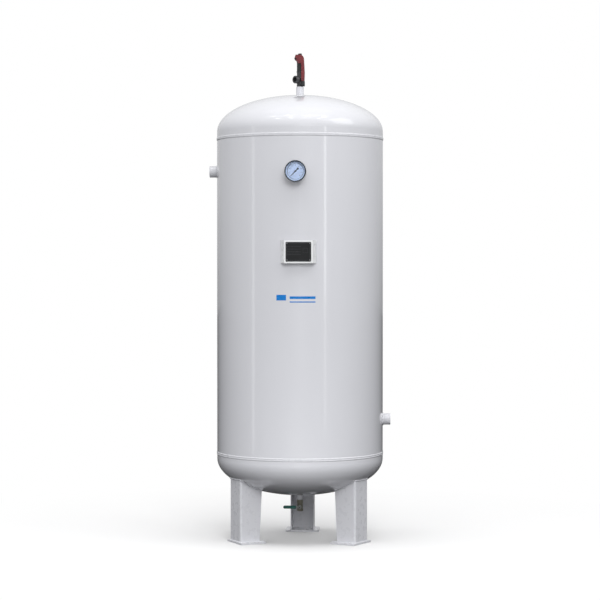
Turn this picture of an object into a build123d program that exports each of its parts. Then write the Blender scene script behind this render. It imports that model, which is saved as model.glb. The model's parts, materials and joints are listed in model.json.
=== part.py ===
from build123d import *
from math import acos, atan2, cos, degrees, pi, radians, sin, sqrt, tan
import os

# Vertical air receiver. Millimetres, +Z up, origin on the tank's axis at floor level.
# The gauge and the data plate face -Y, the outlet is on -X, the inlet on +X.

# ---- driving dimensions: pressure vessel ----
shell_r = 400.0  # outside radius
wall = 5.0
seam_low = 419.0  # height of the lower head-to-shell weld
seam_high = 1930.0
root_gap = 3.0  # gap between plate edges, filled by the weld
top_flange = 34.0  # straight flange of the top head
bottom_flange = 26.0  # the bottom head is trimmed shorter
dish_depth = 176.0  # outside depth of the dish
seam_band_w = 18.0
seam_band_h = 2.8
long_seam_angle = 125.0
long_seam_w = 10.0
long_seam_h = 2.0

# ---- legs ----
leg_angles = {"rear": 90.0, "front_left": 210.0, "front_right": 330.0}
leg_face_r = 347.0  # distance of a leg's outer face from the tank's axis
leg_w = 116.0
leg_t = 6.0
leg_bend_r = 10.0
leg_depth_low = 101.0
leg_depth_high = 115.0
leg_slope_top = 300.0
leg_top = 330.0
foot_w = 165.0
foot_depth = 131.0
foot_t = 8.0
foot_outer_r = 352.0
anchor_pcd = 580.0
anchor_hole_r = 10.0

# ---- welded sockets: outside radius, bore radius ----
main_socket = (27.5, 22.42)  # G 1 1/2
safety_socket_r = (18.2, 12.06)  # G 3/4
half_socket = (13.5, 9.32)  # G 1/2
gauge_socket_r = (14.0, 9.32)  # G 1/2
socket_gap = 0.25
main_socket_out = 37.0  # how far a main socket stands out of the shell
socket_in = 392.0  # radius of a side socket's inner end
outlet_z = 1775.0
inlet_z = 581.0
gauge_z = 1755.0
inspection_z = (720.0, 1640.0)
safety_socket_top = 2184.0
drain_socket_low = 188.0
weld_leg = 6.0

# ---- data plate ----
plate_z = 1385.0
plate_w = 118.0
plate_h = 90.0
plate_angle = 1.7  # the bracket is welded on a little to the right of the front line
bracket_face_w = 134.0
bracket_foot_w = 163.0
bracket_h = 106.0
bracket_t = 1.5
bracket_y = -432.0

# ---- safety valve (its axis is the tank's axis) ----
seat_z = 2206.0
outlet_boss_z = 2217.0
outlet_turn = 45.0  # the outlet points between the left and the front
boss_r = 18.5
boss_end = 34.0
outlet_bore = 12.06  # G 3/4
outlet_thread = 14.0
body_r = 15.0
body_top = 2252.0
bonnet_r = 15.0
bonnet_top = 2312.0
cap_r = 16.6
dome_z = 2317.6  # centre of the cap's dome and of the lever's shoulder bend
cap_nut_room = (13.2, 7.0)  # radius and height of the hollow round the locknut
cap_screw_room = (9.0, 11.5)  # the same round the end of the adjuster
lug_edge = 14.5  # the pin lug starts inside the cap's wall
spring_low = 2232.0
spring_high = 2288.0
spring_mean_r = 8.1
spring_wire = 2.6
spring_turns = 8.5
spindle_r = 3.0
pin_x = -20.0
pin_z = 2318.0
lever_in = 17.6  # inside half width of the channel-shaped lever
lever_t = 2.0
lever_top = 2337.0
lever_shoulder = 19.4  # radius of the bend over the cap
lever_belly = (23.0, 2252.0)  # furthest point of the hanging web
lever_side = 21.2  # outside of the web at its free end
lever_low = 2190.0
lever_skirt = 2296.0  # lower edge of the cheeks beside the bonnet
grip_len = 20.0
lever_depth = 15.0
nut_gap = 0.3

# ---- drain ball valve ----
ball_z = 155.0
ball_r = 10.0
port_r = 5.5
drain_low = 133.0
drain_body_low = 143.0
drain_body_r = 13.4
hex_af = 26.0
stem_r = 4.0
lever_plane_y = -30.0
handle_t = 2.5
handle_w = 15.0
handle_end = -72.0

# ---- gauge (its axis is parallel to Y, through gauge_z) ----
gauge_r = 50.0
gauge_front = 466.0
case_back = 431.0
case_r = 48.0
dial_d = 452.0
tube_ring_r = 33.0
tip_angle = -20.0  # the Bourdon tube's free tip, seen from the front
tube_arc = 292.0
tail_r = 4.4  # the sector's tail, from its arbor to the link's pivot
tail_angle = -112.0
link_d = case_back + 13.45
gear_module = 0.5
pinion_teeth = 12
sector_teeth_full = 72
pressure_angle = radians(25)
sector_drop = gear_module * (pinion_teeth + sector_teeth_full) / 2
sector_travel = 45.0


# ---------- helpers ----------
def disc(r, z0, z1, x=0.0, y=0.0):
    """A cylinder along Z from z0 to z1."""
    return Pos(x, y, (z0 + z1) / 2) * Cylinder(r, abs(z1 - z0))


def ring(r_out, r_in, z0, z1):
    return disc(r_out, z0, z1) - disc(r_in, z0 - 1, z1 + 1)


def hexagon(across_flats, z0, z1):
    sketch = RegularPolygon(across_flats / 2, 6, major_radius=False)
    return Pos(0, 0, z0) * extrude(sketch, z1 - z0)


def hex_nut(across_flats, z0, z1):
    """A hexagon with the two turned chamfers of a nut."""
    corner = across_flats / 2 / cos(pi / 6)
    cut = (corner - across_flats / 2) * 0.9
    drop = cut * tan(radians(30))
    side = [(corner - cut, z0), (corner, z0 + drop), (corner, z1 - drop), (corner - cut, z1)]
    return hexagon(across_flats, z0, z1) & profile((0, z0), *side, (0, z1))


def turned(outline):
    """Revolve a closed outline of (radius, height) points about Z."""
    face = make_face(Plane.XZ * outline)
    return revolve(face, Axis.Z)


def profile(*points):
    return turned(Polyline(*points, close=True))


def box_between(low, high):
    size = [b - a for a, b in zip(low, high)]
    centre = [(a + b) / 2 for a, b in zip(low, high)]
    return Pos(*centre) * Box(*size)


def facing_out(angle, z):
    """Local +Z points away from the tank's axis at this azimuth, local +Y is up."""
    a = radians(angle)
    return Plane((0, 0, z), x_dir=(-sin(a), cos(a), 0), z_dir=(cos(a), sin(a), 0)).location


def facing_front(z):
    """Local +Z points to -Y, local +X stays +X and local +Y stays up."""
    return Pos(0, 0, z) * Rot(90, 0, 0)


# ---------- pressure vessel ----------
def side_holes():
    """Cylinders that clear every socket in the shell."""
    main_r = main_socket[0] + socket_gap
    gauge_hole_r = gauge_socket_r[0] + socket_gap
    spots = [(180.0, outlet_z, main_r), (0.0, inlet_z, main_r), (270.0, gauge_z, gauge_hole_r)]
    spots += [(90.0, z, main_r) for z in inspection_z]
    return [facing_out(angle, z) * disc(r, 350, 450) for angle, z, r in spots]


def make_shell():
    tube = ring(shell_r, shell_r - wall, seam_low + root_gap / 2, seam_high - root_gap / 2)
    for hole in side_holes():
        tube -= hole
    return tube


def dished_outline(offset, flange):
    """Half outline of a head, opening downwards, its weld edge at height 0."""
    r = shell_r - offset
    depth = dish_depth - offset
    arc = EllipticalCenterArc((0, flange), r, depth, start_angle=0, arc_size=90)
    return [Line((0, 0), (r, 0)), Line((r, 0), (r, flange)), arc, Line((0, flange + depth), (0, 0))]


def head_block(offset, flange):
    return turned(Curve() + dished_outline(offset, flange))


def make_head(flange):
    return head_block(0, flange) - head_block(wall, flange)


def make_top_head():
    head = Pos(0, 0, seam_high + root_gap / 2) * make_head(top_flange)
    return head - disc(safety_socket_r[0] + socket_gap, 2000, 2300)


def make_bottom_head():
    head = Pos(0, 0, seam_low - root_gap / 2) * Rot(180, 0, 0) * make_head(bottom_flange)
    return head - disc(half_socket[0] + socket_gap, 100, 400)


def bottom_dish_block():
    """The solid volume inside the bottom head's outside surface."""
    return Pos(0, 0, seam_low - root_gap / 2) * Rot(180, 0, 0) * head_block(0, bottom_flange)


def make_seam(z):
    """A weld that fills the root gap and stands proud as a low crown."""
    half = seam_band_w / 2
    crown = ThreePointArc((shell_r, half), (shell_r + seam_band_h, 0), (shell_r, -half))
    rest = Polyline(
        (shell_r, -half),
        (shell_r, -root_gap / 2),
        (shell_r - wall, -root_gap / 2),
        (shell_r - wall, root_gap / 2),
        (shell_r, root_gap / 2),
        (shell_r, half),
    )
    return Pos(0, 0, z) * turned(Curve() + [crown, rest])


def make_long_seam():
    low = seam_low + seam_band_w / 2 + 1
    high = seam_high - seam_band_w / 2 - 1
    half = long_seam_w / 2
    crown = ThreePointArc((shell_r - 1, -half), (shell_r + long_seam_h, 0), (shell_r - 1, half))
    base = Line(crown @ 1, crown @ 0)
    bead = Pos(0, 0, low) * extrude(make_face(Curve() + [crown, base]), high - low)
    return Rot(0, 0, long_seam_angle) * bead - disc(shell_r, low - 1, high + 1)


def make_leg(angle):
    """A bent channel, its web outwards, cut to the bottom head's surface."""
    outer = Rectangle(leg_depth_high, leg_w, align=(Align.MAX, Align.CENTER))
    inner = Pos(-leg_t, 0) * Rectangle(leg_depth_high, leg_w - 2 * leg_t, align=(Align.MAX, Align.CENTER))
    outer = fillet(outer.vertices().group_by(Axis.X)[-1], leg_bend_r)
    inner = fillet(inner.vertices().group_by(Axis.X)[-1], leg_bend_r - leg_t)
    channel = Pos(leg_face_r, 0, foot_t) * extrude(outer - inner, leg_top - foot_t)
    slope_low = leg_face_r - leg_depth_low
    slope_high = leg_face_r - leg_depth_high
    back = slope_high - 40
    edge = [(slope_low, foot_t - 1), (slope_high, leg_slope_top), (slope_high, leg_top)]
    taper = Polyline((back, foot_t - 1), *edge, (back, leg_top), close=True)
    waste = extrude(make_face(Plane.XZ * taper), leg_w, both=True)
    return Rot(0, 0, angle) * (channel - waste - bottom_dish_block())


def make_foot_plate(angle):
    plate = Pos(foot_outer_r - foot_depth / 2, 0, foot_t / 2) * Box(foot_depth, foot_w, foot_t)
    plate = fillet(plate.edges().filter_by(Axis.Z), 6)
    plate -= disc(anchor_hole_r, -1, foot_t + 1, x=anchor_pcd / 2)
    return Rot(0, 0, angle) * plate


# ---------- sockets ----------
def socket_tube(radii, z0, z1):
    tube = ring(radii[0], radii[1], z0, z1)
    return chamfer(tube.edges().filter_by(GeomType.CIRCLE).sort_by(Axis.Z)[-2:], 1.0)


def side_socket(radii, angle, z, out):
    return facing_out(angle, z) * socket_tube(radii, socket_in, shell_r + out)


def make_inspection_sockets():
    return [side_socket(main_socket, 90.0, z, 28.0) for z in inspection_z]


def make_inspection_plugs():
    """Hexagon-headed plugs, screwed down onto the two inspection sockets."""
    head_z = shell_r + 28.2
    barrel = disc(main_socket[1] - 0.05, head_z - 24, head_z)
    plug = barrel + disc(27.0, head_z, head_z + 4) + hex_nut(41.0, head_z + 4, head_z + 18)
    return [facing_out(90.0, z) * plug for z in inspection_z]


def make_safety_socket():
    return socket_tube(safety_socket_r, 2130.0, safety_socket_top)


def make_drain_socket():
    flip = Pos(0, 0, drain_socket_low) * Rot(180, 0, 0)
    return flip * socket_tube(half_socket, -38, 0)


def fillet_ring(r, base):
    """A hollow-faced fillet weld round a tube of radius r, reaching base height plus its leg."""
    dip = weld_leg * 0.36
    arc = ThreePointArc((r, base + weld_leg), (r + dip, base + dip), (r + weld_leg, base))
    skirt = Polyline((r + weld_leg, base), (r + weld_leg, base - 12), (r, base - 12), (r, base + weld_leg))
    return turned(Curve() + [arc, skirt])


def make_socket_welds():
    barrel = disc(shell_r, 100, 2300)
    top_block = Pos(0, 0, seam_high) * head_block(0, top_flange)
    side = [(180.0, outlet_z, main_socket[0]), (0.0, inlet_z, main_socket[0])]
    side += [(270.0, gauge_z, gauge_socket_r[0])]
    side += [(90.0, z, main_socket[0]) for z in inspection_z]
    rings = [facing_out(angle, z) * fillet_ring(r, shell_r) - barrel for angle, z, r in side]
    dome_top = seam_high + root_gap / 2 + top_flange + dish_depth
    rings.append(fillet_ring(safety_socket_r[0], dome_top) - Pos(0, 0, root_gap / 2) * top_block)
    flipped = Pos(0, 0, seam_low - root_gap / 2 - bottom_flange - dish_depth) * Rot(180, 0, 0)
    rings.append(flipped * fillet_ring(half_socket[0], 0) - bottom_dish_block())
    return rings


# ---------- data plate ----------
def make_bracket():
    """A bent strip: flat face, and two wings that run back to the shell."""
    face = bracket_face_w / 2
    foot = bracket_foot_w / 2
    foot_y = -sqrt(shell_r**2 - foot**2) + 6
    corners = [(-foot - 3, foot_y), (-face, bracket_y), (face, bracket_y), (foot + 3, foot_y)]
    skin = make_face(Polyline(*corners, close=True))
    core = offset(skin, -bracket_t)
    gap = Pos(0, foot_y) * Rectangle(2 * foot + 20, 3 * bracket_t)
    solid = extrude(skin - core - gap, bracket_h)
    solid = Pos(0, 0, plate_z - bracket_h / 2) * solid
    solid -= disc(shell_r, plate_z - bracket_h, plate_z + bracket_h)
    for x, z in rivet_spots():
        solid -= Pos(0, 0, z) * Rot(90, 0, 0) * disc(1.65, 400, 450, x=x)
    return Rot(0, 0, plate_angle) * solid


def rivet_spots():
    dx = plate_w / 2 - 6
    dz = plate_h / 2 - 6
    return [(sx * dx, plate_z + sz * dz) for sx in (-1, 1) for sz in (-1, 1)]


def make_nameplate():
    d = -bracket_y
    plate = extrude(RectangleRounded(plate_w, plate_h, 4), 1.0)
    plate = facing_front(plate_z) * Pos(0, 0, d) * plate
    for x, z in rivet_spots():
        plate -= Pos(0, 0, z) * Rot(90, 0, 0) * disc(1.65, 400, 450, x=x)
    return Rot(0, 0, plate_angle) * plate


def make_rivets():
    d = -bracket_y
    head = Pos(0, 0, d + 1.0) * (Sphere(3.4) & box_between((-4, -4, 1.4), (4, 4, 4)))
    head = Pos(0, 0, -1.4) * head
    shank = disc(1.6, d - bracket_t - 1, d + 1.0)
    tail = disc(2.6, d - bracket_t - 2.2, d - bracket_t)
    rivet = head + shank + tail
    turn = Rot(0, 0, plate_angle)
    return [turn * Pos(0, 0, z) * Rot(90, 0, 0) * Pos(x, 0, 0) * rivet for x, z in rivet_spots()]


# ---------- safety valve ----------
def make_valve_body():
    low = safety_socket_top
    barrel = disc(12.0, low - 18, low + 1)
    shaped = barrel + Rot(0, 0, 30) * hex_nut(30.0, low + 0.3, low + 12)
    shaped += disc(body_r, low + 11, body_top)
    sideways = Pos(0, 0, outlet_boss_z) * Rot(0, 0, outlet_turn) * Rot(0, -90, 0)
    cone = [(0, 6), (13.5, 6), (boss_r, 18), (boss_r, boss_end - 2)]
    shaped += sideways * profile(*cone, (boss_r - 1.5, boss_end), (0, boss_end))
    shaped -= disc(12.2, seat_z - 1.5, body_top + 1)
    shaped -= sideways * disc(9.5, 0, boss_end)
    shaped -= sideways * disc(outlet_bore, boss_end - outlet_thread, boss_end + 1)
    shaped += ring(9.5, 8.0, seat_z - 2, seat_z)
    return shaped - disc(8.0, low - 20, seat_z - 1)


def make_bonnet():
    """The spring housing: screwed into the body below, threaded for the adjuster above."""
    outside = disc(12.1, body_top - 12, body_top) + hex_nut(29.0, body_top, body_top + 7)
    outside += disc(bonnet_r, body_top + 7, bonnet_top)
    outside -= disc(10.2, body_top - 13, bonnet_top - 20)
    return outside - disc(8.05, bonnet_top - 21, bonnet_top + 1)


def make_adjuster():
    screw = disc(8.0, spring_high + 4.1, bonnet_top + 9) - disc(spindle_r + 0.6, spring_high, bonnet_top + 20)
    slot = box_between((-9, -1.2, bonnet_top + 6.5), (9, 1.2, bonnet_top + 10))
    return screw - slot


def make_locknut():
    return hex_nut(22.0, bonnet_top + 0.02, bonnet_top + 5.5) - disc(8.05, bonnet_top - 1, bonnet_top + 8)


def make_valve_cap():
    """A domed cap over the adjuster, with a lug that carries the lever's pin."""
    low = bonnet_top - 10
    cap = disc(cap_r, low, dome_z) + Pos(0, 0, dome_z) * Sphere(cap_r)
    cap -= disc(bonnet_r + 0.05, low - 10, bonnet_top + 0.02)
    for room, height in (cap_nut_room, cap_screw_room):
        cap -= disc(room, bonnet_top, bonnet_top + height)
    cap -= disc(spindle_r + 1.0, bonnet_top, dome_z + 20)
    across = Pos(pin_x, 0, pin_z) * Rot(90, 0, 0)
    lug = box_between((pin_x, -7, pin_z - 6), (-lug_edge - 0.1, 7, pin_z + 6)) + across * Cylinder(6, 14)
    cap += lug - disc(lug_edge, low, dome_z + 20)
    return cap - across * Cylinder(2.52, 60)


def make_lever_pin():
    """A plain pin with a domed head each side of the lever."""
    half = lever_in + lever_t
    pin = Cylinder(2.5, 2 * half + 0.6)
    for side in (-1, 1):
        pin += Pos(0, 0, side * (half + 1.3)) * Cylinder(4.2, 2.0)
    return Pos(pin_x, 0, pin_z) * Rot(90, 0, 0) * pin


def make_upper_spring_seat():
    return ring(9.8, spindle_r + 0.5, spring_high + 0.1, spring_high + 3.9)


def make_lower_spring_seat():
    return ring(9.8, spindle_r + 0.02, spring_low - 4, spring_low - 0.1)


def make_spring():
    pitch = (spring_high - spring_low - spring_wire) / spring_turns
    path = Helix(pitch, spring_high - spring_low - spring_wire, spring_mean_r)
    wire = Plane(path @ 0, z_dir=path % 0) * Circle(spring_wire / 2)
    return Pos(0, 0, spring_low + spring_wire / 2) * sweep(wire, path)


def make_spindle():
    low = seat_z + 8
    return disc(spindle_r, low, lever_top + 7) + disc(5.0, spring_low - 7, spring_low - 4)


def make_valve_disc():
    disc_body = disc(11.2, seat_z + 2.6, seat_z + 14) + ring(11.2, 10.0, seat_z + 0.05, seat_z + 3)
    return disc_body - disc(spindle_r + 0.02, seat_z + 7.9, seat_z + 20)


def make_disc_seal():
    return disc(9.95, seat_z + 0.03, seat_z + 2.58)


def make_lift_nuts():
    low = lever_top + nut_gap
    return [hex_nut(16.0, z, z + 3.2) - disc(spindle_r + 0.02, z - 1, z + 5) for z in (low, low + 3.25)]


def lever_back(shrink, low):
    """The lever's outer line from the middle of its top, over the shoulder and down to its free end."""
    bend = lever_shoulder - shrink
    belly = (lever_belly[0] - shrink, lever_belly[1])
    end = (lever_side - shrink, low)
    return [
        RadiusArc((0, lever_top - shrink), (bend, dome_z), bend),
        Line((bend, dome_z), belly),
        Line(belly, end),
    ]


def make_lift_lever():
    """A pressed channel: web outside, a cheek each side, a slot in the top for the spindle."""
    side = lever_side
    left = pin_x - 6.5
    front = side - lever_depth
    toe = (side - 9, lever_low)
    run = lever_back(0, lever_low + 6) + [
        Line((side, lever_low + 6), (side - 4, lever_low)),
        Line((side - 4, lever_low), toe),
        Line(toe, (front, lever_low + 30)),
        Line((front, lever_low + 30), (front, lever_skirt)),
        Line((front, lever_skirt), (-9, lever_skirt)),
        Line((-9, lever_skirt), (pin_x, pin_z - 6.5)),
        ThreePointArc((pin_x, pin_z - 6.5), (left, pin_z), (left + 1.5, pin_z + 5)),
        Line((left + 1.5, pin_z + 5), (left + 6, lever_top)),
        Line((left + 6, lever_top), (0, lever_top)),
    ]
    cheek = make_face(Plane.XZ * (Curve() + run))
    block = extrude(cheek, lever_in + lever_t, both=True)
    top = lever_top - lever_t
    low = lever_low - 5
    inner = lever_back(lever_t, low) + [
        Line((side - lever_t, low), (left - 5, low)),
        Line((left - 5, low), (left - 5, top)),
        Line((left - 5, top), (0, top)),
    ]
    hollow = extrude(make_face(Plane.XZ * (Curve() + inner)), lever_in, both=True)
    lever = block - hollow
    lever -= Pos(pin_x, 0, pin_z) * Rot(90, 0, 0) * Cylinder(2.56, 80)
    slot = Pos(1.2, 0, top) * extrude(SlotOverall(13.0, 8.4), 6, both=True)
    return lever - slot


def make_lever_grip():
    """A dipped sleeve round the lever's free end, outside and inside."""
    z0 = lever_low - 2
    z1 = lever_low + grip_len
    side = lever_side
    w = lever_in + lever_t
    wrap = box_between((side - 13.5, -w - 1.6, z0), (side + 1.6, w + 1.6, z1))
    wrap -= box_between((side - 20, -lever_in + 1.0, z0 - 1), (side - lever_t - 1.0, lever_in - 1.0, z1 + 1))
    return wrap - make_lift_lever()


# ---------- drain ball valve ----------
def seat_ring(z0, z1):
    ball = Pos(0, 0, ball_z) * Sphere(ball_r + 0.02)
    return ring(9.0, port_r, z0, z1) - ball


def make_drain_seats():
    reach = 11.2
    return [seat_ring(ball_z - reach, ball_z - 6.5), seat_ring(ball_z + 6.5, ball_z + reach)]


def make_drain_body():
    low = drain_body_low
    body = disc(drain_body_r, low, 176) + hex_nut(hex_af, 172, drain_socket_low - 0.3)
    body += disc(9.25, drain_socket_low - 1, drain_socket_low + 15)
    boss = Pos(0, 0, ball_z) * Rot(90, 0, 0) * (disc(9.0, 8, 24))
    body += boss
    body -= disc(11.2, low - 1, low + 7.5)
    body -= disc(10.9, low, ball_z + 8)
    body -= disc(9.05, ball_z, ball_z + 11.25)
    body -= disc(port_r, ball_z, drain_socket_low + 30)
    side = Pos(0, 0, ball_z) * Rot(90, 0, 0)
    body -= side * disc(stem_r + 0.04, 5, 30)
    body -= side * disc(5.6, 5, 12.6)
    return body - side * disc(6.55, 18, 30)


def make_drain_adapter():
    low = drain_low
    part = hex_nut(hex_af, low, drain_body_low - 0.02) + disc(11.15, drain_body_low - 1, drain_body_low + 6.4)
    part -= disc(half_socket[1], low - 1, low + 9.5)
    part -= disc(port_r, low, ball_z)
    part -= disc(9.05, ball_z - 11.25, ball_z)
    return part - Pos(0, 0, ball_z) * Sphere(ball_r + 0.35)


def make_ball():
    """Closed: the bore lies along X, the stem's slot along Z."""
    ball = Sphere(ball_r) - Rot(0, 90, 0) * Cylinder(port_r, 40)
    slot = box_between((-1.5, -ball_r - 1, -5.2), (1.5, -7.0, 5.2))
    return Pos(0, 0, ball_z) * (ball - slot)


def make_drain_stem():
    """Tang, blow-out proof collar, round barrel, two flats for the lever, thread."""
    tang = box_between((-1.4, -9, 7.1), (1.4, 9, 10.5)) & disc(4.6, 7, 11)
    stem = tang + disc(5.5, 10.3, 12.5) + disc(stem_r, 12, -lever_plane_y)
    neck = disc(stem_r, 20, -lever_plane_y + handle_t) & box_between((-9, -3.0, 29), (9, 3.0, 60))
    stem += neck + disc(2.9, -lever_plane_y + handle_t - 0.5, 40)
    return Pos(0, 0, ball_z) * Rot(90, 0, 0) * stem


def make_packing():
    return Pos(0, 0, ball_z) * Rot(90, 0, 0) * ring(6.5, stem_r + 0.02, 18.02, 20.9)


def make_packing_nut():
    nut = disc(6.5, 20.92, 24.5) + hex_nut(15.0, 24.1, 28.6)
    return Pos(0, 0, ball_z) * Rot(90, 0, 0) * (nut - disc(stem_r + 0.05, 20, 30))


def make_drain_lever():
    """A flat steel handle with a double-D hole and a rounded hub."""
    d = -lever_plane_y
    flat = Circle(9.0) + Pos(handle_end / 2, 0) * Rectangle(-handle_end, 11.0)
    flat += Pos(handle_end, 0) * Circle(5.5)
    hole = Circle(stem_r + 0.03) & Rectangle(20, 6.06)
    plate = Pos(0, 0, d + 0.02) * extrude(flat - hole, handle_t)
    return facing_front(ball_z) * plate


def make_drain_sleeve():
    """A thick dipped sleeve on the handle, rounded at its free end."""
    d = -lever_plane_y
    start = -18.0
    outer = Pos((start + handle_end) / 2, 0) * Rectangle(start - handle_end, handle_w)
    outer += Pos(handle_end, 0) * Circle(handle_w / 2)
    sleeve = Pos(0, 0, d + handle_t / 2 - 3.2) * extrude(outer, 6.4)
    sleeve = chamfer(sleeve.edges().group_by(Axis.Z)[-1] + sleeve.edges().group_by(Axis.Z)[0], 1.4)
    return facing_front(ball_z) * sleeve - make_drain_lever()


def make_drain_lever_nut():
    d = -lever_plane_y + handle_t + 0.05
    nut = hex_nut(10.0, d, d + 5) - disc(2.92, d - 1, d + 8)
    return Pos(0, 0, ball_z) * Rot(90, 0, 0) * nut


# ---------- gauge ----------
def make_gauge_block():
    """Threaded shank, hexagon, and inside the case the bar that carries tube and movement."""
    shank = disc(9.25, 404, 418.5) + hex_nut(22.0, 418.3, case_back - 0.3)
    shank += disc(7.0, case_back - 1, case_back + 2.4)
    bar = box_between((-7, -39, case_back + 2.2), (7, 8, case_back + 7))
    post = box_between((-6.5, -39, case_back + 6.5), (6.5, -30.5, case_back + 18))
    block = shank + bar + post
    block -= disc(2.0, 400, case_back + 5)
    block -= box_between((-2, -34.8, case_back + 3), (2, 0, case_back + 5))
    block -= box_between((-2, -35, case_back + 3), (2, -32, case_back + 16.9))
    return facing_front(gauge_z) * (block - tube_sweep(2.0, 5.0, 0.0))


def make_gauge_case():
    rim = gauge_front - 6.5
    case = disc(case_r, case_back, rim) - disc(case_r - 1.2, case_back + 1.5, rim + 1)
    case -= disc(7.1, case_back - 1, case_back + 3)
    return facing_front(gauge_z) * case


def make_bezel():
    """A rolled ring with a rounded front lip over the window."""
    back = gauge_front - 14
    bore = case_r + 0.05
    lip_r = 44.5
    shelf = gauge_front - 2.4
    outline = [
        Polyline((bore, back), (gauge_r, back), (gauge_r, gauge_front - 3)),
        RadiusArc((gauge_r, gauge_front - 3), (gauge_r - 3, gauge_front), -3),
        Polyline((gauge_r - 3, gauge_front), (lip_r, gauge_front - 1.2), (lip_r, shelf), (bore, shelf)),
        Line((bore, shelf), (bore, back)),
    ]
    return facing_front(gauge_z) * turned(Curve() + outline)


def make_window():
    return facing_front(gauge_z) * disc(47.6, gauge_front - 5.4, gauge_front - 2.45)


def make_gauge_gasket():
    return facing_front(gauge_z) * ring(47.6, 45.0, gauge_front - 6.45, gauge_front - 5.45)


def make_dial():
    dial = disc(45.6, dial_d, dial_d + 0.8) - disc(2.0, dial_d - 1, dial_d + 2)
    return facing_front(gauge_z) * dial


def pointer_angle():
    """The pointer rests at zero, low on the left."""
    return 225.0


def make_pointer():
    z0 = dial_d + 2.4
    hub = disc(4.0, z0 - 0.4, z0 + 2.0)
    needle = Polyline((-14, -1.6), (0, -2.5), (34, -0.6), (34, 0.6), (0, 2.5), (-14, 1.6), close=True)
    blade = Pos(0, 0, z0) * extrude(make_face(needle), 0.9)
    tail = disc(4.6, z0, z0 + 0.9, x=-16.0)
    pointer = Rot(0, 0, pointer_angle()) * (blade + tail) + hub
    return facing_front(gauge_z) * (pointer - disc(0.9, z0 - 1, z0 + 1.2))


def tube_sweep(half_w, half_d, cut):
    """A C-shaped bar of rounded section round the gauge's axis, from the block to the free tip."""
    width = 2 * half_w - cut
    section = RectangleRounded(width, 2 * half_d - cut, width / 2 - 0.01)
    section = Pos(tube_ring_r, tube_plane()) * section
    bar = revolve(Plane.XZ * section, Axis.Z, revolution_arc=tube_arc)
    return Rot(0, 0, tip_angle) * bar


def tube_plane():
    return case_back + 13.0


def make_bourdon_tube():
    """A flattened hollow tube, bent to a C, its free end closed by a tip block."""
    outer = tube_sweep(2.0, 5.0, 0.0)
    inner = Rot(0, 0, 4.0) * tube_sweep(2.0, 5.0, 1.0)
    tube = outer - inner
    tip = box_between((tube_ring_r - 3, -7, tube_plane() - 3), (tube_ring_r + 2, 0.5, tube_plane() + 3))
    slot = box_between((tube_ring_r - 9, -9, link_d - 0.25), (tube_ring_r + 9, -0.5, link_d + 0.95))
    tip_block = Rot(0, 0, tip_angle) * (tip - slot - Pos(tube_ring_r, -4.2, 0) * disc(0.7, 430, 460))
    return facing_front(gauge_z) * (tube + tip_block)


def make_movement():
    """Two brass plates on three pillars, drilled for the two arbors."""
    back = case_back + 7.05
    sketch = Pos(0, -10.5) * RectangleRounded(18.5, 37, 4)
    plates = [Pos(0, 0, z) * extrude(sketch, 1.0) for z in (back, back + 9)]
    frame = plates[0] + plates[1]
    for x, y in ((-7, 5), (7, 5), (-7.2, -26.4)):
        frame += disc(1.3, back + 0.5, back + 9.5, x=x, y=y)
    frame -= disc(0.95, back - 1, back + 12)
    frame -= disc(0.95, back - 1, back + 12, y=-sector_drop)
    return facing_front(gauge_z) * frame


def tooth_half_angle(teeth, r):
    """Half the angle that a tooth takes at radius r, thinned a little for backlash."""
    pitch_r = gear_module * teeth / 2
    base_r = pitch_r * cos(pressure_angle)
    inv = lambda a: tan(a) - a
    at_r = acos(min(1.0, base_r / r))
    return (pi / 2 - 0.06 / gear_module) / teeth + inv(pressure_angle) - inv(at_r)


def tooth_face(teeth):
    """One involute tooth pointing along +X, down to below its root."""
    pitch_r = gear_module * teeth / 2
    base_r = pitch_r * cos(pressure_angle)
    tip_r = pitch_r + 0.6 * gear_module
    root_r = pitch_r - 0.8 * gear_module
    start = max(base_r, root_r)
    radii_list = [start + (tip_r - start) * i / 4 for i in range(5)]
    flank = [(r * cos(tooth_half_angle(teeth, r)), r * sin(tooth_half_angle(teeth, r))) for r in radii_list]
    foot = (root_r - 0.3, flank[0][1])
    upper = Spline(*flank)
    lower = Spline(*[(x, -y) for x, y in flank])
    edges = [
        upper,
        Line(upper @ 1, lower @ 1),
        lower,
        Polyline(lower @ 0, (foot[0], -foot[1]), foot, upper @ 0),
    ]
    return make_face(Curve() + edges), root_r


def make_pinion():
    """A cut arbor: twelve teeth between the plates, its front end carries the pointer."""
    z0 = case_back + 10.0
    face, root_r = tooth_face(pinion_teeth)
    gear = disc(root_r, z0, z0 + 5)
    for i in range(pinion_teeth):
        tooth = Pos(0, 0, z0) * extrude(face, 5)
        gear += Rot(0, 0, 90 + 180 / pinion_teeth + 360 / pinion_teeth * i) * tooth
    arbor = disc(0.9, case_back + 7.2, dial_d + 3.5)
    return facing_front(gauge_z) * (gear + arbor)


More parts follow.
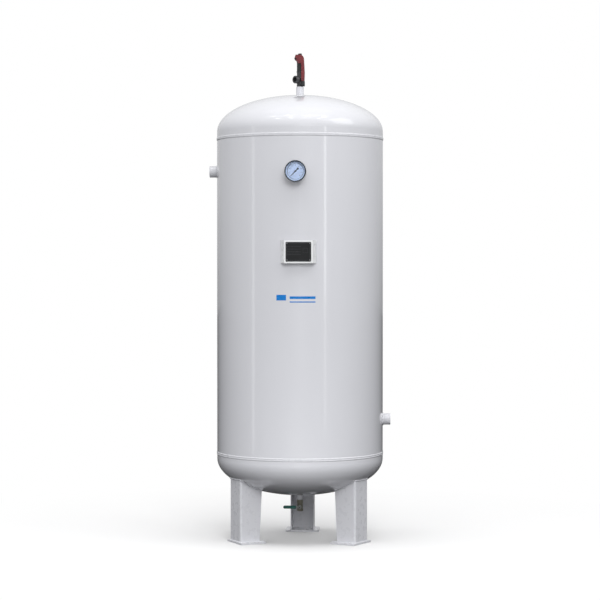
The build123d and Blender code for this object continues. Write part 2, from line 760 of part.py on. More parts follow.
def make_sector():
    """The toothed quadrant, its hub and arbor, and the short tail that the link pulls."""
    z0 = case_back + 11.5
    thick = 1.8
    face, root_r = tooth_face(sector_teeth_full)
    pitch = 360 / sector_teeth_full
    first = 90 - sector_travel - 2 * pitch
    last = 90 + 2 * pitch
    rim = Circle(root_r) - Circle(root_r - 3)
    corners = [(30, first - pitch / 2), (34, (first + last) / 2), (30, last + pitch / 2)]
    wedge_points = [(r * cos(radians(a)), r * sin(radians(a))) for r, a in corners]
    wedge = make_face(Polyline((0, 0), *wedge_points, close=True))
    flat = rim & wedge
    spokes = [first + 4, (first + last) / 2, last - 4]
    for a in spokes:
        flat += Rot(0, 0, a) * Pos((root_r - 1) / 2, 0) * Rectangle(root_r - 1, 2.0)
    flat += Circle(3.0)
    flat += Rot(0, 0, tail_angle) * Pos(2.2, 0) * Rectangle(4.4, 2.4)
    flat += Rot(0, 0, tail_angle) * Pos(tail_r, 0) * Circle(1.5)
    flat -= Rot(0, 0, tail_angle) * Pos(tail_r, 0) * Circle(0.75)
    quadrant = extrude(flat, thick)
    count = int(round((last - first) / pitch)) + 1
    for i in range(count):
        quadrant += Rot(0, 0, first + i * pitch) * extrude(face, thick)
    quadrant += disc(0.9, case_back + 7.2 - z0, case_back + 17 - z0)
    return facing_front(gauge_z) * Pos(0, -sector_drop, z0) * quadrant


def link_ends():
    """Centres of the link's two pivots: on the sector's tail and on the tube's tip."""
    a = radians(tail_angle)
    tail = (tail_r * cos(a), -sector_drop + tail_r * sin(a))
    b = radians(tip_angle)
    tip = (tube_ring_r * cos(b) + 4.2 * sin(b), tube_ring_r * sin(b) - 4.2 * cos(b))
    return tail, tip


def make_link():
    tail, tip = link_ends()
    length = sqrt((tip[0] - tail[0]) ** 2 + (tip[1] - tail[1]) ** 2) - 3.4
    angle = degrees(atan2(tip[1] - tail[1], tip[0] - tail[0]))
    flat = Circle(1.4) + Pos(length / 2, 0) * Rectangle(length, 1.6) + Pos(length, 0) * Circle(1.4)
    bar = extrude(flat, 0.7) + disc(0.65, -2.0, 0.5)
    return facing_front(gauge_z) * Pos(tail[0], tail[1], link_d) * Rot(0, 0, angle) * bar


# ---------- the assembly: every node and the function that makes it ----------
pieces = {
    "shell": make_shell,
    "top_head": make_top_head,
    "bottom_head": make_bottom_head,
    "top_seam_weld": lambda: make_seam(seam_high),
    "bottom_seam_weld": lambda: make_seam(seam_low),
    "long_seam_weld": make_long_seam,
    "outlet_socket": lambda: side_socket(main_socket, 180.0, outlet_z, main_socket_out),
    "inlet_socket": lambda: side_socket(main_socket, 0.0, inlet_z, main_socket_out),
    "safety_socket": make_safety_socket,
    "drain_socket": make_drain_socket,
    "gauge_socket": lambda: side_socket(gauge_socket_r, 270.0, gauge_z, 18.0),
    "inspection_sockets": make_inspection_sockets,
    "inspection_plugs": make_inspection_plugs,
    "socket_welds": make_socket_welds,
    "nameplate_bracket": make_bracket,
    "nameplate": make_nameplate,
    "nameplate_rivets": make_rivets,
    "valve_body": make_valve_body,
    "valve_bonnet": make_bonnet,
    "valve_cap": make_valve_cap,
    "spring_adjuster": make_adjuster,
    "adjuster_locknut": make_locknut,
    "upper_spring_seat": make_upper_spring_seat,
    "valve_spring": make_spring,
    "lower_spring_seat": make_lower_spring_seat,
    "valve_spindle": make_spindle,
    "valve_disc": make_valve_disc,
    "disc_seal": make_disc_seal,
    "lift_nuts": make_lift_nuts,
    "lever_pin": make_lever_pin,
    "lift_lever": make_lift_lever,
    "lever_grip": make_lever_grip,
    "drain_valve_body": make_drain_body,
    "drain_end_adapter": make_drain_adapter,
    "drain_ball": make_ball,
    "drain_seats": make_drain_seats,
    "drain_stem": make_drain_stem,
    "drain_packing": make_packing,
    "drain_packing_nut": make_packing_nut,
    "drain_lever": make_drain_lever,
    "drain_lever_sleeve": make_drain_sleeve,
    "drain_lever_nut": make_drain_lever_nut,
    "gauge_block": make_gauge_block,
    "gauge_case": make_gauge_case,
    "gauge_bezel": make_bezel,
    "gauge_window": make_window,
    "gauge_gasket": make_gauge_gasket,
    "gauge_dial": make_dial,
    "gauge_pointer": make_pointer,
    "bourdon_tube": make_bourdon_tube,
    "gauge_movement": make_movement,
    "gauge_sector": make_sector,
    "gauge_pinion": make_pinion,
    "gauge_link": make_link,
}
for place, angle in leg_angles.items():
    pieces["leg_" + place] = lambda a=angle: make_leg(a)
    pieces["foot_plate_" + place] = lambda a=angle: make_foot_plate(a)


def as_shape(made):
    """One solid stays as it is; several separate solids become one compound."""
    if isinstance(made, list):
        return Compound(children=[s for part in made for s in part.solids()])
    solids = made.solids()
    return solids[0] if len(solids) == 1 else Compound(children=solids)


os.makedirs("parts", exist_ok=True)
for node, make in pieces.items():
    export_step(as_shape(make()), f"parts/{node}.step")
print(len(pieces), "nodes written")
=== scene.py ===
import bpy, bmesh, json, math
from mathutils import Matrix, Vector


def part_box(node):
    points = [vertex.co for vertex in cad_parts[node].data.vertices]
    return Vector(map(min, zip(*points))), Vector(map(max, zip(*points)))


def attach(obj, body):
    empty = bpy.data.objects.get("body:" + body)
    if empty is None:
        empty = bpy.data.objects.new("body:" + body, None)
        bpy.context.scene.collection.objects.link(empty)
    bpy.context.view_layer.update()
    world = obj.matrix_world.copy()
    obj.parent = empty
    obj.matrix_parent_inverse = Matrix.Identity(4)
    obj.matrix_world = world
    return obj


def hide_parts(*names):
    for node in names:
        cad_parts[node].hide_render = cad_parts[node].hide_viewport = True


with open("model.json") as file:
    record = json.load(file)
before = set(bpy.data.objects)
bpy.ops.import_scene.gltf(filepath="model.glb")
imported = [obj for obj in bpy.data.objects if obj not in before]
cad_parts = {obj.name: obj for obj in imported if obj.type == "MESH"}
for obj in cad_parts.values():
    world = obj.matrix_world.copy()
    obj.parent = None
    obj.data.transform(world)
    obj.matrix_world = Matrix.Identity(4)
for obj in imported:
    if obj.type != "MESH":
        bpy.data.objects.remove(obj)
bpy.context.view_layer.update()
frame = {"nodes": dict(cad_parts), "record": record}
nodes = frame["nodes"]
scene = bpy.context.scene
print("frame loaded:", len(nodes), "nodes")

mm = 0.001
fullTurn = 2 * math.pi


# Where things are, read from the CAD
def centreOf(node):
    low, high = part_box(node)
    return (low + high) / 2


def sizeOf(node):
    low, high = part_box(node)
    return high - low


shellR = sizeOf("shell").x / 2
seamLow = centreOf("bottom_seam_weld").z
seamHigh = centreOf("top_seam_weld").z
bandWidth = sizeOf("top_seam_weld").z
bandCrown = sizeOf("top_seam_weld").x / 2 - shellR
bottomFlange = 26 * mm  # the straight edge of the bottom head
headRise = 176 * mm  # depth of a dished head beyond its straight edge


# Small tools
def link(obj):
    scene.collection.objects.link(obj)
    return obj


def place(obj, body, material=None):
    if material:
        obj.data.materials.clear()
        obj.data.materials.append(material)
    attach(obj, body)
    return obj


def meshObject(name, points, faces, smooth=True):
    data = bpy.data.meshes.new(name)
    data.from_pydata([tuple(p) for p in points], [], faces)
    data.validate()
    if smooth:
        data.shade_smooth()
    return link(bpy.data.objects.new(name, data))


# Poly curves through the given points, as the input of a path tree
def polyCurve(name, paths, closed=False):
    data = bpy.data.curves.new(name, "CURVE")
    data.dimensions = "3D"
    for points in paths:
        spline = data.splines.new("POLY")
        spline.points.add(len(points) - 1)
        for target, p in zip(spline.points, points):
            target.co = (*p, 1)
        spline.use_cyclic_u = closed
    return link(bpy.data.objects.new(name, data))


# Geometry node trees
def startTree(name, inputs):
    tree = bpy.data.node_groups.new(name, "GeometryNodeTree")
    tree.interface.new_socket("Geometry", in_out="INPUT", socket_type="NodeSocketGeometry")
    for label, kind, value in inputs:
        socket = tree.interface.new_socket(label, in_out="INPUT", socket_type="NodeSocket" + kind)
        if value is not None:
            socket.default_value = value
    tree.interface.new_socket("Geometry", in_out="OUTPUT", socket_type="NodeSocketGeometry")
    return tree, tree.nodes.new("NodeGroupInput").outputs, tree.nodes.new("NodeGroupOutput").inputs


def add(tree, kind, inputs=None, **settings):
    node = tree.nodes.new(kind)
    for key, value in settings.items():
        setattr(node, key, value)
    for key, value in (inputs or {}).items():
        if isinstance(value, bpy.types.NodeSocket):
            tree.links.new(value, node.inputs[key])
        else:
            node.inputs[key].default_value = value
    return node


# One math node; its values are numbers or sockets
def calc(tree, operation, *values):
    return add(tree, "ShaderNodeMath", dict(enumerate(values)), operation=operation).outputs[0]


# Every tree ends the same way: real geometry, smooth, with its material
def endTree(tree, geometry, material, out):
    real = add(tree, "GeometryNodeRealizeInstances", {"Geometry": geometry}).outputs[0]
    soft = add(tree, "GeometryNodeSetShadeSmooth", {"Geometry": real}).outputs[0]
    dressed = add(tree, "GeometryNodeSetMaterial", {"Geometry": soft, "Material": material}).outputs[0]
    tree.links.new(dressed, out["Geometry"])
    return tree


# Runs a tree on an object and gives back the result as a plain mesh
def grow(source, tree, values, name):
    modifier = source.modifiers.new("grow", "NODES")
    modifier.node_group = tree
    for item in tree.interface.items_tree:
        if item.in_out == "INPUT" and item.name in values:
            modifier[item.identifier] = values[item.name]
    bpy.context.view_layer.update()
    graph = bpy.context.evaluated_depsgraph_get()
    data = bpy.data.meshes.new_from_object(source.evaluated_get(graph), depsgraph=graph)
    source.modifiers.remove(modifier)
    bpy.data.objects.remove(source)
    data.name = name
    return link(bpy.data.objects.new(name, data))


def emptySource(name):
    return link(bpy.data.objects.new(name, bpy.data.meshes.new(name)))


edgeSink = -0.4 * mm  # the edges of a weld band dip into the plate
bandWander = 1.6 * mm  # how far a band strays up and down
grooveSlope = -9.0  # the groove is a third of the band wide


# A weld band round the shell: two low ridges with a groove between and crescent ripples along them
def seamTree():
    tree, given, out = startTree("weldBand", [
        ("Radius", "Float", 0.4), ("Height", "Float", 1.0), ("Band Width", "Float", 0.016),
        ("Crown", "Float", 0.003), ("Groove", "Float", 0.5), ("Ripple Pitch", "Float", 0.004),
        ("Ripple Depth", "Float", 0.0003),
        ("Around", "Int", 1200), ("Across", "Int", 13), ("Seed", "Float", 3.0), ("Material", "Material", None)])
    grid = add(tree, "GeometryNodeMeshGrid", {"Size X": 1.0, "Size Y": 1.0, "Vertices X": given["Around"],
                                              "Vertices Y": given["Across"]}).outputs["Mesh"]
    spot = add(tree, "ShaderNodeSeparateXYZ", {0: add(tree, "GeometryNodeInputPosition").outputs[0]}).outputs
    angle = calc(tree, "MULTIPLY", spot["X"], fullTurn)
    across = calc(tree, "MULTIPLY", spot["Y"], 2.0)
    square = calc(tree, "MULTIPLY", across, across)
    arc = calc(tree, "MULTIPLY", angle, given["Radius"])
    lag = calc(tree, "MULTIPLY", square, given["Ripple Pitch"])
    phase = calc(tree, "DIVIDE", calc(tree, "ADD", arc, lag), given["Ripple Pitch"])
    wave = calc(tree, "PINGPONG", phase, 0.5)
    where = add(tree, "ShaderNodeCombineXYZ", {"X": calc(tree, "COSINE", angle), "Y": calc(tree, "SINE", angle),
                                               "Z": given["Seed"]}).outputs[0]
    drift = add(tree, "ShaderNodeTexNoise", {"Vector": where, "Scale": 9.0, "Detail": 2.0}).outputs[0]
    hollow = calc(tree, "MAXIMUM", calc(tree, "MULTIPLY_ADD", square, grooveSlope, 1.0), 0.0)
    ridges = calc(tree, "SUBTRACT", 1.0, calc(tree, "MULTIPLY", hollow, given["Groove"]))
    dome = calc(tree, "MULTIPLY", calc(tree, "SUBTRACT", 1.0, square), ridges)
    rise = calc(tree, "MULTIPLY", calc(tree, "MULTIPLY", dome, given["Crown"]),
                calc(tree, "MULTIPLY_ADD", drift, 0.25, 0.85))
    ripple = calc(tree, "MULTIPLY", calc(tree, "MULTIPLY", wave, given["Ripple Depth"]), dome)
    sink = calc(tree, "MULTIPLY", square, edgeSink)
    radius = calc(tree, "ADD", calc(tree, "ADD", given["Radius"], sink),
                  calc(tree, "ADD", rise, calc(tree, "MULTIPLY", ripple, -1.0)))
    half = calc(tree, "MULTIPLY", given["Band Width"], 0.5)
    wander = calc(tree, "MULTIPLY_ADD", drift, bandWander, -bandWander / 2)
    height = calc(tree, "ADD", calc(tree, "MULTIPLY_ADD", across, half, given["Height"]), wander)
    moved = add(tree, "ShaderNodeCombineXYZ", {
        "X": calc(tree, "MULTIPLY", calc(tree, "COSINE", angle), radius),
        "Y": calc(tree, "MULTIPLY", calc(tree, "SINE", angle), radius), "Z": height}).outputs[0]
    bent = add(tree, "GeometryNodeSetPosition", {"Geometry": grid, "Position": moved}).outputs[0]
    closed = add(tree, "GeometryNodeMergeByDistance", {"Geometry": bent, "Distance": 0.00005}).outputs[0]
    return endTree(tree, closed, given["Material"], out)


# A round bead along each path, swelling and shrinking with every ripple
def beadTree():
    tree, given, out = startTree("weldBead", [
        ("Bead Radius", "Float", 0.004), ("Step", "Float", 0.001), ("Ripple Pitch", "Float", 0.004),
        ("Ripple Depth", "Float", 0.08), ("Seed", "Float", 1.0), ("Material", "Material", None)])
    path = add(tree, "GeometryNodeResampleCurve", {"Curve": given["Geometry"], "Length": given["Step"]},
               mode="LENGTH").outputs[0]
    along = add(tree, "GeometryNodeSplineParameter").outputs["Length"]
    wave = calc(tree, "PINGPONG", calc(tree, "DIVIDE", along, given["Ripple Pitch"]), 0.5)
    where = add(tree, "ShaderNodeCombineXYZ", {"X": along, "Z": given["Seed"]}).outputs[0]
    drift = add(tree, "ShaderNodeTexNoise", {"Vector": where, "Scale": 60.0, "Detail": 1.0}).outputs[0]
    swell = calc(tree, "ADD", calc(tree, "MULTIPLY_ADD", drift, 0.3, 0.85),
                 calc(tree, "MULTIPLY", wave, calc(tree, "MULTIPLY", given["Ripple Depth"], -2.0)))
    sized = add(tree, "GeometryNodeSetCurveRadius", {"Curve": path, "Radius": swell}).outputs[0]
    ring = add(tree, "GeometryNodeCurvePrimitiveCircle", {"Resolution": 10, "Radius": given["Bead Radius"]})
    tube = add(tree, "GeometryNodeCurveToMesh", {"Curve": sized, "Profile Curve": ring.outputs[0],
                                                 "Scale": add(tree, "GeometryNodeInputRadius").outputs[0],
                                                 "Fill Caps": True}).outputs[0]
    return endTree(tree, tube, given["Material"], out)


# The crests of a pipe thread: a three-sided ridge wound along the bore
def threadTree():
    tree, given, out = startTree("pipeThread", [
        ("Radius", "Float", 0.02), ("Length", "Float", 0.04), ("Pitch", "Float", 0.0023),
        ("Ridge", "Float", 0.0009), ("Steps", "Int", 48), ("Material", "Material", None)])
    turns = calc(tree, "DIVIDE", given["Length"], given["Pitch"])
    coil = add(tree, "GeometryNodeCurveSpiral", {
        "Resolution": given["Steps"], "Rotations": turns, "Start Radius": given["Radius"],
        "End Radius": given["Radius"], "Height": given["Length"]}).outputs[0]
    ring = add(tree, "GeometryNodeCurvePrimitiveCircle", {"Resolution": 3, "Radius": given["Ridge"]})
    ridge = add(tree, "GeometryNodeCurveToMesh", {"Curve": coil, "Profile Curve": ring.outputs[0],
                                                  "Fill Caps": True}).outputs[0]
    return endTree(tree, ridge, given["Material"], out)


# Dial marks: one flat bar, repeated along an arc and turned to face its centre
def tickTree():
    tree, given, out = startTree("dialTicks", [
        ("Count", "Int", 41), ("Arc Radius", "Float", 0.036), ("Start", "Float", math.radians(225)),
        ("Sweep", "Float", math.radians(-270)), ("Mark Length", "Float", 0.003),
        ("Mark Width", "Float", 0.0004), ("Mark Height", "Float", 0.0001), ("Material", "Material", None)])
    line = add(tree, "GeometryNodeMeshLine", {"Count": given["Count"]}).outputs[0]
    index = add(tree, "GeometryNodeInputIndex").outputs[0]
    gaps = calc(tree, "SUBTRACT", given["Count"], 1.0)
    angle = calc(tree, "MULTIPLY_ADD", calc(tree, "DIVIDE", index, gaps), given["Sweep"], given["Start"])
    spot = add(tree, "ShaderNodeCombineXYZ", {
        "X": calc(tree, "MULTIPLY", calc(tree, "COSINE", angle), given["Arc Radius"]),
        "Y": calc(tree, "MULTIPLY", calc(tree, "SINE", angle), given["Arc Radius"])}).outputs[0]
    dots = add(tree, "GeometryNodeSetPosition", {"Geometry": line, "Position": spot}).outputs[0]
    shape = add(tree, "ShaderNodeCombineXYZ", {"X": given["Mark Length"], "Y": given["Mark Width"],
                                               "Z": given["Mark Height"]}).outputs[0]
    bar = add(tree, "GeometryNodeMeshCube", {"Size": shape}).outputs["Mesh"]
    turn = add(tree, "ShaderNodeCombineXYZ", {"Z": angle}).outputs[0]
    marks = add(tree, "GeometryNodeInstanceOnPoints", {"Points": dots, "Instance": bar, "Rotation": turn})
    return endTree(tree, marks.outputs[0], given["Material"], out)


# Materials
def newMaterial(name):
    mat = bpy.data.materials.new(name)
    mat.use_nodes = True
    tree = mat.node_tree
    shader = tree.nodes["Principled BSDF"]
    coords = tree.nodes.new("ShaderNodeTexCoord").outputs["Object"]
    return mat, tree, shader, coords


# Noise on object coordinates, stretched for brushed or rolled surfaces
def cloud(tree, coords, scale, detail=3.0, rough=0.55, stretch=(1, 1, 1)):
    mapped = add(tree, "ShaderNodeMapping", {"Vector": coords, "Scale": stretch}).outputs[0]
    return add(tree, "ShaderNodeTexNoise", {"Vector": mapped, "Scale": scale, "Detail": detail,
                                            "Roughness": rough}).outputs[0]


def between(tree, value, low, high, fromLow=0.3, fromHigh=0.7):
    return add(tree, "ShaderNodeMapRange", {"Value": value, "From Min": fromLow, "From Max": fromHigh,
                                            "To Min": low, "To Max": high}).outputs[0]


def blendColour(tree, factor, first, second):
    ramp = add(tree, "ShaderNodeValToRGB", {"Fac": factor})
    ramp.color_ramp.elements[0].position = 0.3
    ramp.color_ramp.elements[1].position = 0.7
    ramp.color_ramp.elements[0].color = (*first, 1)
    ramp.color_ramp.elements[1].color = (*second, 1)
    return ramp.outputs["Color"]


def bumpOf(tree, height, distance, strength=1.0, under=None):
    inputs = {"Height": height, "Distance": distance, "Strength": strength}
    if under:
        inputs["Normal"] = under
    return add(tree, "ShaderNodeBump", inputs).outputs[0]


# A shading normal that rounds the sharp edges of machined and pressed parts
def rounded(tree, radius):
    return add(tree, "ShaderNodeBevel", {"Radius": radius}, samples=4).outputs[0]


glossRatio = 3.1  # gloss patches are this much finer than the shade clouds


# Sprayed enamel: faint shade clouds, orange peel, dust held in the lower gloss patches
def enamel(name, s):
    mat, tree, shader, coords = newMaterial(name)
    shade = cloud(tree, coords, s["cloudScale"], 4.0)
    tree.links.new(blendColour(tree, shade, s["dark"], s["light"]), shader.inputs["Base Color"])
    patches = cloud(tree, coords, s["cloudScale"] * glossRatio, 3.0)
    tree.links.new(between(tree, patches, *s["rough"]), shader.inputs["Roughness"])
    peel = cloud(tree, coords, s["peelScale"], 2.0)
    slow = cloud(tree, coords, s["waveScale"], 1.0)
    base = rounded(tree, s["edge"]) if s.get("edge") else None
    wavy = bumpOf(tree, slow, s["waveDepth"], 1.0, base)
    tree.links.new(bumpOf(tree, peel, s["peelDepth"], 1.0, wavy), shader.inputs["Normal"])
    shader.inputs["Coat Weight"].default_value = s["coat"]
    shader.inputs["Coat Roughness"].default_value = s["coatRough"]
    return mat


# Bare or plated metal: drawn or turned lines, stain clouds, softened edges
def metal(name, s):
    mat, tree, shader, coords = newMaterial(name)
    stain = cloud(tree, coords, s["cloudScale"], 4.0)
    tree.links.new(blendColour(tree, stain, s["dark"], s["light"]), shader.inputs["Base Color"])
    lines = cloud(tree, coords, s["lineScale"], 2.0, 0.6, s["stretch"])
    tree.links.new(between(tree, lines, *s["rough"]), shader.inputs["Roughness"])
    tree.links.new(bumpOf(tree, lines, s["lineDepth"], 1.0, rounded(tree, s["edge"])), shader.inputs["Normal"])
    shader.inputs["Metallic"].default_value = s["metallic"]
    return mat


# Sand-cast metal: a grainy skin, darker in the pits
def casting(name, s):
    mat, tree, shader, coords = newMaterial(name)
    grain = cloud(tree, coords, s["grainScale"], 5.0, 0.65)
    tree.links.new(blendColour(tree, grain, s["dark"], s["light"]), shader.inputs["Base Color"])
    tree.links.new(between(tree, grain, *s["rough"]), shader.inputs["Roughness"])
    tree.links.new(bumpOf(tree, grain, s["grainDepth"], 0.8, rounded(tree, s["edge"])), shader.inputs["Normal"])
    shader.inputs["Metallic"].default_value = s["metallic"]
    return mat


# Dipped vinyl or rubber: thick soft skin with slow flow waves and a fine grain
def vinyl(name, s):
    mat, tree, shader, coords = newMaterial(name)
    flow = cloud(tree, coords, s["flowScale"], 2.0)
    tree.links.new(blendColour(tree, flow, s["dark"], s["light"]), shader.inputs["Base Color"])
    grain = cloud(tree, coords, s["grainScale"], 3.0)
    tree.links.new(between(tree, grain, *s["rough"]), shader.inputs["Roughness"])
    soft = bumpOf(tree, flow, s["flowDepth"], 1.0, rounded(tree, s["edge"]))
    tree.links.new(bumpOf(tree, grain, s["grainDepth"], 1.0, soft), shader.inputs["Normal"])
    return mat


# Thin flat gauge glass, faintly smeared
def glass(name, s):
    mat, tree, shader, coords = newMaterial(name)
    smear = cloud(tree, coords, s["smearScale"], 3.0, 0.5, (1, 1, 3))
    tree.links.new(between(tree, smear, *s["rough"]), shader.inputs["Roughness"])
    tree.links.new(blendColour(tree, smear, s["colour"], s["tint"]), shader.inputs["Base Color"])
    shader.inputs["Transmission Weight"].default_value = 1.0
    shader.inputs["IOR"].default_value = s["ior"]
    shader.inputs["Alpha"].default_value = s["alpha"]
    return mat


paints = {
    "tankPaint": {"light": (0.655, 0.66, 0.695), "dark": (0.645, 0.65, 0.685), "cloudScale": 2.0,
                  "rough": (0.2, 0.26), "peelScale": 260, "peelDepth": 0.00005, "waveScale": 4,
                  "waveDepth": 0.0012, "coat": 0.8, "coatRough": 0.05},
    "fittingPaint": {"light": (0.655, 0.66, 0.695), "dark": (0.645, 0.65, 0.685), "cloudScale": 12.0,
                     "rough": (0.24, 0.34), "peelScale": 420, "peelDepth": 0.000015, "waveScale": 40,
                     "waveDepth": 0.00003, "coat": 0.5, "coatRough": 0.1, "edge": 0.0012},
    "bracketPaint": {"light": (0.80, 0.81, 0.815), "dark": (0.75, 0.76, 0.765), "cloudScale": 20.0,
                     "rough": (0.25, 0.35), "peelScale": 500, "peelDepth": 0.00004, "waveScale": 30,
                     "waveDepth": 0.0003, "coat": 0.5, "coatRough": 0.1, "edge": 0.0005},
    "blackPaint": {"light": (0.022, 0.024, 0.024), "dark": (0.010, 0.011, 0.011), "cloudScale": 60.0,
                   "rough": (0.3, 0.45), "peelScale": 900, "peelDepth": 0.00004, "waveScale": 90,
                   "waveDepth": 0.0001, "coat": 0.3, "coatRough": 0.2, "edge": 0.0006},
    "leverRed": {"light": (0.20, 0.026, 0.030), "dark": (0.10, 0.014, 0.020), "cloudScale": 45.0,
                 "rough": (0.3, 0.5), "peelScale": 700, "peelDepth": 0.00005, "waveScale": 60,
                 "waveDepth": 0.0002, "coat": 0.35, "coatRough": 0.15, "edge": 0.0008},
    "gaugeEnamel": {"light": (0.045, 0.06, 0.08), "dark": (0.025, 0.035, 0.05), "cloudScale": 50.0,
                    "rough": (0.22, 0.35), "peelScale": 900, "peelDepth": 0.00002, "waveScale": 60,
                    "waveDepth": 0.00005, "coat": 0.5, "coatRough": 0.08, "edge": 0.0007},
    "dialPaint": {"light": (0.58, 0.70, 0.95), "dark": (0.54, 0.66, 0.91), "cloudScale": 70.0,
                  "rough": (0.5, 0.6), "peelScale": 1500, "peelDepth": 0.00001, "waveScale": 60,
                  "waveDepth": 0.00002, "coat": 0.0, "coatRough": 0.3},
    "inkBlack": {"light": (0.02, 0.03, 0.06), "dark": (0.012, 0.016, 0.03), "cloudScale": 200.0,
                 "rough": (0.4, 0.55), "peelScale": 2500, "peelDepth": 0.00001, "waveScale": 100,
                 "waveDepth": 0.00001, "coat": 0.0, "coatRough": 0.3},
    "inkBlue": {"light": (0.13, 0.20, 0.26), "dark": (0.10, 0.16, 0.21), "cloudScale": 200.0,
                "rough": (0.4, 0.55), "peelScale": 2500, "peelDepth": 0.00001, "waveScale": 100,
                "waveDepth": 0.00001, "coat": 0.0, "coatRough": 0.3},
    "inkGrey": {"light": (0.10, 0.105, 0.11), "dark": (0.06, 0.065, 0.07), "cloudScale": 120.0,
                "rough": (0.35, 0.5), "peelScale": 2500, "peelDepth": 0.00001, "waveScale": 100,
                "waveDepth": 0.00001, "coat": 0.0, "coatRough": 0.3},
    "stickerBlue": {"light": (0.005, 0.20, 0.60), "dark": (0.004, 0.17, 0.54), "cloudScale": 30.0,
                    "rough": (0.25, 0.35), "peelScale": 600, "peelDepth": 0.00002, "waveScale": 50,
                    "waveDepth": 0.0001, "coat": 0.3, "coatRough": 0.1},
    "plateBlack": {"light": (0.012, 0.013, 0.014), "dark": (0.006, 0.0065, 0.007), "cloudScale": 14.0,
                   "rough": (0.3, 0.42), "peelScale": 1200, "peelDepth": 0.00001, "waveScale": 25,
                   "waveDepth": 0.0003, "coat": 0.2, "coatRough": 0.15, "edge": 0.0003},
}
metals = {
    "zincSteel": {"light": (0.62, 0.63, 0.62), "dark": (0.42, 0.42, 0.40), "cloudScale": 90, "lineScale": 600,
                  "stretch": (1, 1, 0.1), "rough": (0.22, 0.4), "lineDepth": 0.00002, "edge": 0.0004,
                  "metallic": 1.0},
    "plugSteel": {"light": (0.36, 0.36, 0.35), "dark": (0.20, 0.20, 0.19), "cloudScale": 60, "lineScale": 500,
                  "stretch": (1, 0.2, 1), "rough": (0.35, 0.55), "lineDepth": 0.00004, "edge": 0.0007,
                  "metallic": 1.0},
    "stainless": {"light": (0.62, 0.62, 0.61), "dark": (0.50, 0.50, 0.49), "cloudScale": 60, "lineScale": 900,
                  "stretch": (1, 1, 4), "rough": (0.15, 0.3), "lineDepth": 0.00001, "edge": 0.0003, "metallic": 1.0},
    "springSteel": {"light": (0.20, 0.20, 0.22), "dark": (0.10, 0.10, 0.11), "cloudScale": 120, "lineScale": 700,
                    "stretch": (1, 1, 1), "rough": (0.25, 0.45), "lineDepth": 0.00002, "edge": 0.0002,
                    "metallic": 1.0},
    "nickelBrass": {"light": (0.44, 0.42, 0.34), "dark": (0.27, 0.26, 0.20), "cloudScale": 70, "lineScale": 500,
                    "stretch": (1, 1, 3), "rough": (0.25, 0.45), "lineDepth": 0.00003, "edge": 0.0006,
                    "metallic": 1.0},
    "brass": {"light": (0.78, 0.57, 0.25), "dark": (0.58, 0.40, 0.16), "cloudScale": 70, "lineScale": 700,
              "stretch": (1, 3, 1), "rough": (0.18, 0.35), "lineDepth": 0.00001, "edge": 0.0003, "metallic": 1.0},
    "rivetAluminium": {"light": (0.42, 0.43, 0.44), "dark": (0.30, 0.31, 0.32), "cloudScale": 200, "lineScale": 900,
                       "stretch": (1, 1, 1), "rough": (0.3, 0.45), "lineDepth": 0.00001, "edge": 0.0003,
                       "metallic": 1.0},
}
castings = {
    "valveIron": {"light": (0.16, 0.16, 0.165), "dark": (0.05, 0.05, 0.052), "grainScale": 320,
                  "rough": (0.35, 0.55), "grainDepth": 0.0003, "edge": 0.0008, "metallic": 0.8},
}
vinyls = {
    "tealVinyl": {"light": (0.030, 0.14, 0.115), "dark": (0.014, 0.085, 0.07), "flowScale": 60, "flowDepth": 0.0004,
                  "grainScale": 900, "grainDepth": 0.00003, "rough": (0.32, 0.45), "edge": 0.001},
    "gripBlack": {"light": (0.03, 0.03, 0.032), "dark": (0.014, 0.014, 0.015), "flowScale": 80, "flowDepth": 0.0003,
                  "grainScale": 900, "grainDepth": 0.00004, "rough": (0.4, 0.6), "edge": 0.001},
    "sealRubber": {"light": (0.03, 0.03, 0.03), "dark": (0.012, 0.012, 0.012), "flowScale": 100, "flowDepth": 0.0001,
                   "grainScale": 1200, "grainDepth": 0.00003, "rough": (0.6, 0.8), "edge": 0.0003},
    "ptfe": {"light": (0.82, 0.82, 0.80), "dark": (0.74, 0.74, 0.71), "flowScale": 100, "flowDepth": 0.0001,
             "grainScale": 900, "grainDepth": 0.00001, "rough": (0.35, 0.5), "edge": 0.0003},
}
glasses = {"gaugeGlass": {"colour": (0.93, 0.97, 1.0), "tint": (0.95, 0.98, 1.0), "smearScale": 30,
                          "rough": (0.01, 0.04), "ior": 1.45,
                          "alpha": 0.35}}

materials = {name: enamel(name, s) for name, s in paints.items()}
materials.update({name: metal(name, s) for name, s in metals.items()})
materials.update({name: casting(name, s) for name, s in castings.items()})
materials.update({name: vinyl(name, s) for name, s in vinyls.items()})
materials.update({name: glass(name, s) for name, s in glasses.items()})
print("materials ready:", len(materials))

slotMaterials = {
    "tank_paint": "fittingPaint", "bracket_paint": "bracketPaint", "plate_black": "plateBlack",
    "rivet_aluminium": "rivetAluminium", "plug_steel": "plugSteel", "valve_iron": "valveIron",
    "black_paint": "blackPaint", "zinc_steel": "zincSteel", "spring_steel": "springSteel",
    "stainless": "stainless", "seal_rubber": "sealRubber", "lever_red": "leverRed", "grip_black": "gripBlack",
    "nickel_brass": "nickelBrass", "ptfe": "ptfe", "teal_vinyl": "tealVinyl", "gauge_steel": "gaugeEnamel",
    "gauge_glass": "gaugeGlass", "dial_white": "dialPaint", "pointer_black": "inkBlack", "brass": "brass",
}
largePlates = ("shell", "top_head", "bottom_head")


def dressFrame():
    for part in frame["record"]["subparts"]:
        obj = nodes[part["node"]]
        name = "tankPaint" if part["node"] in largePlates else slotMaterials[part["material_slot"]]
        obj.data.materials.clear()
        obj.data.materials.append(materials[name])


dressFrame()


